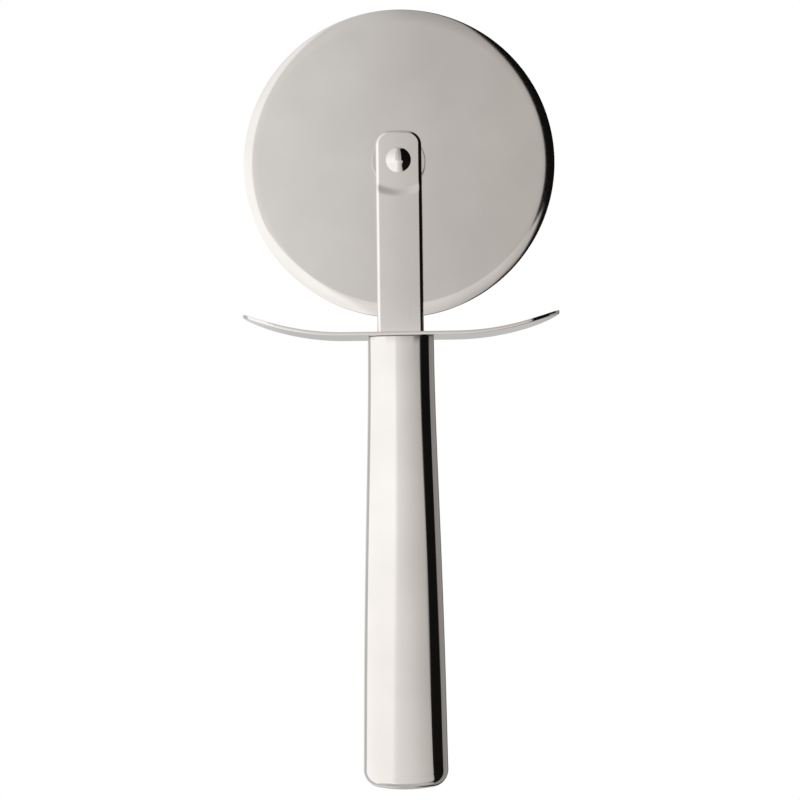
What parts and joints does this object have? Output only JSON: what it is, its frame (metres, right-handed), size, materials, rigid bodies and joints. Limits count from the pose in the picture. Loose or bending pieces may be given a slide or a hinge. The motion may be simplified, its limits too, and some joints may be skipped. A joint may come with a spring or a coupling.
{
  "type": "pizza cutter wheel",
  "caption": "Polished steel pizza cutter: a thin wheel spins on a riveted axle in a two-armed fork above a bowed finger guard and a hollow, softly squared handle.",
  "frame": {"origin": "middle of the handle's axis, where a hand grips it", "axes": "+Z along the handle up to the wheel, -Y the front face, X across the guard; the wheel turns about Y"},
  "size_m": [0.0912, 0.0184, 0.2239],
  "materials": {
    "polished_wheel": "mirror-polished stainless steel, finely buffed round the axle",
    "polished_fork": "mirror-polished stainless steel with softly rounded edges",
    "polished_handle": "mirror-polished pressed stainless steel, very slightly wavy",
    "polished_guard": "mirror-polished stainless sheet",
    "polished_rivet": "mirror-polished domed head",
    "brushed_spacer": "turned stainless steel",
    "bush_brass": "turned brass",
    "cast_filler": "cast resin cement"
  },
  "bodies": {
    "handle_and_fork": {"axle_rivet": "polished_rivet", "rear_rivet_cap": "polished_rivet", "front_spacer": "brushed_spacer", "rear_spacer": "brushed_spacer", "front_arm": "polished_fork", "rear_arm": "polished_fork", "tang_spacers": "brushed_spacer", "guard": "polished_guard", "handle_front_shell": "polished_handle", "handle_rear_shell": "polished_handle", "handle_filler": "cast_filler"},
    "wheel": {"blade_disc": "polished_wheel", "hub_bush": "bush_brass"}
  },
  "joints": [
    {"name": "wheel_spin", "type": "hinge", "parent": "handle_and_fork", "child": "wheel", "pos_m": [0, 0, 0.11485], "axis": [0, 1, 0], "continuous": true}
  ]
}
